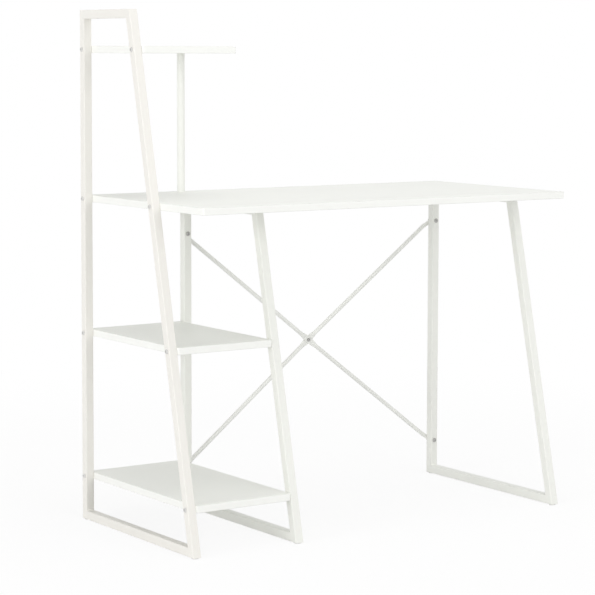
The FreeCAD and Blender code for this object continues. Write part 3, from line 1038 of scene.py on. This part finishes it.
@dataclass
class Studio:
    """White sweep of paper under even light from all round."""

    paper: Colour = (0.90, 0.90, 0.90)
    paper_shade: Colour = (0.87, 0.87, 0.87)
    fibre: float = 0.002
    paper_roughness: float = 0.6
    half_width: float = 9.0
    squares: int = 24
    shadow_span: Span = (0.75, 2.4)
    near_white: float = 0.88
    front_sky: float = 0.82
    rear_sky: float = 0.46
    sky_span: Span = (-0.8, 0.8)
    lamps: tuple[Lamp, ...] = (
        Lamp("left_lamp", place=(-7.0, -1.2, 1.2), size=3.2, power=178.0),
        Lamp("front_lamp", place=(0.4, -4.8, 2.1), size=2.4, power=40.0),
        Lamp("top_lamp", place=(0.2, -0.4, 4.2), size=2.4, power=30.0),
    )

    def seen(self, sheet: NodeSheet) -> Sock:
        """Mask of the rays that look at the studio.

        Args:
            sheet: Tree to write on.

        Returns:
            1 for what the eye, a gloss or a clear piece sees, 0 for what lights the desk.
        """
        path = sheet.add("ShaderNodeLightPath")
        total = path.out("Is Camera Ray") + path.out("Is Glossy Ray") + path.out("Is Transmission Ray")
        return sheet.spread(total, (0.0, 1.0))

    def paper_material(self) -> bpy.types.Material:
        """Paper that keeps the desk's shadow and turns white further off.

        Returns:
            The material.
        """
        material = bpy.data.materials.new("floor_paper")
        material.use_nodes = True
        sheet = NodeSheet(material.node_tree)
        place = sheet.place()
        fibre = sheet.noise(place, self.fibre, Detail.CLOUDY)
        colour = sheet.mix(fibre, self.paper_shade, self.paper)
        off = sheet.add("ShaderNodeVectorMath", {"operation": "LENGTH"}, {0: place}).out("Value")
        bright = self.near_white + (1.0 - self.near_white) * sheet.spread(off, self.shadow_span)
        sockets = {
            "Base Color": colour,
            "Diffuse Roughness": self.paper_roughness,
            "Specular IOR Level": 0.0,
        }
        matt = sheet.add("ShaderNodeBsdfPrincipled", {}, sockets)
        white = sheet.add("ShaderNodeEmission", {}, {"Color": WHITE, "Strength": 1.0})
        both = sheet.mix_shaders(self.seen(sheet) * bright, matt, white)
        sheet.add("ShaderNodeOutputMaterial", {}, {"Surface": both})
        return material

    def build_floor(self) -> None:
        """Lay the paper."""
        work = bmesh.new()
        bmesh.ops.create_grid(work, x_segments=self.squares, y_segments=self.squares, size=self.half_width)
        mesh = bpy.data.meshes.new("floor_paper")
        work.to_mesh(mesh)
        work.free()
        mesh.materials.append(self.paper_material())
        floor = bpy.data.objects.new("floor_paper", mesh)
        bpy.context.scene.collection.objects.link(floor)

    def build_sky(self) -> None:
        """Light from all round, softer from the rear, white to the eye."""
        world = bpy.data.worlds.new("studio")
        world.use_nodes = True
        sheet = NodeSheet(world.node_tree)
        ahead = sheet.dot(sheet.add("ShaderNodeTexCoord").out("Generated"), Facing.FRONT.value)
        rear = sheet.add("ShaderNodeBackground", {}, {"Color": WHITE, "Strength": self.rear_sky})
        front = sheet.add("ShaderNodeBackground", {}, {"Color": WHITE, "Strength": self.front_sky})
        soft = sheet.mix_shaders(sheet.spread(ahead, self.sky_span), rear, front)
        clear = sheet.add("ShaderNodeBackground", {}, {"Color": WHITE, "Strength": 1.0})
        both = sheet.mix_shaders(self.seen(sheet), soft, clear)
        sheet.add("ShaderNodeOutputWorld", {}, {"Surface": both})
        bpy.context.scene.world = world

    def build(self) -> None:
        """Lay the floor and light the desk."""
        self.build_floor()
        self.build_sky()
        for lamp in self.lamps:
            lamp.build()
        bpy.context.scene.view_settings.view_transform = "Standard"


@dataclass
class Eye:
    """Camera at the photograph's viewing angle, with its angles in degrees."""

    place: Triple = (-2.88745, -4.14663, 1.08434)
    yaw: float = 34.18
    pitch: float = -4.97
    roll: float = 0.14
    lens: float = 131.84
    shift: float = -0.1
    sensor: float = 36.0
    far: float = 60.0

    def axes(self) -> Matrix:
        """Local axes of the camera.

        Returns:
            Turn whose columns point right, up and back.
        """
        yaw, pitch, roll = (math.radians(angle) for angle in (self.yaw, self.pitch, self.roll))
        level = math.cos(pitch)
        ahead = Vector((math.sin(yaw) * level, math.cos(yaw) * level, math.sin(pitch)))
        right = Vector((math.cos(yaw), -math.sin(yaw), 0.0))
        up = right.cross(ahead)
        across = math.cos(roll) * right + math.sin(roll) * up
        upward = math.cos(roll) * up - math.sin(roll) * right
        return Matrix((across, upward, -ahead)).transposed()

    def build(self) -> None:
        """Set the camera up."""
        data = bpy.data.cameras.new("eye")
        data.sensor_fit = "HORIZONTAL"
        data.sensor_width = self.sensor
        data.lens = self.lens
        data.shift_y = self.shift
        data.clip_end = self.far
        camera = bpy.data.objects.new("eye", data)
        camera.matrix_world = Matrix.Translation(self.place) @ self.axes().to_4x4()
        bpy.context.scene.collection.objects.link(camera)
        bpy.context.scene.camera = camera


def main() -> None:
    """Build and dress the desk, then set up the studio and the camera."""
    logging.basicConfig(level=logging.INFO, format="%(message)s")
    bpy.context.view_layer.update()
    for name, coat in (("left", LEFT_COAT), ("middle", SHORT_COAT), ("right", SHORT_COAT)):
        side = SteelFrame(name, coat)
        side.build()
        side.dress()
    Boards().dress()
    RoundTubes().dress()
    Hardware().build()
    FootPads().build()
    Studio().build()
    Eye().build()


if __name__ == "__main__":
    main()
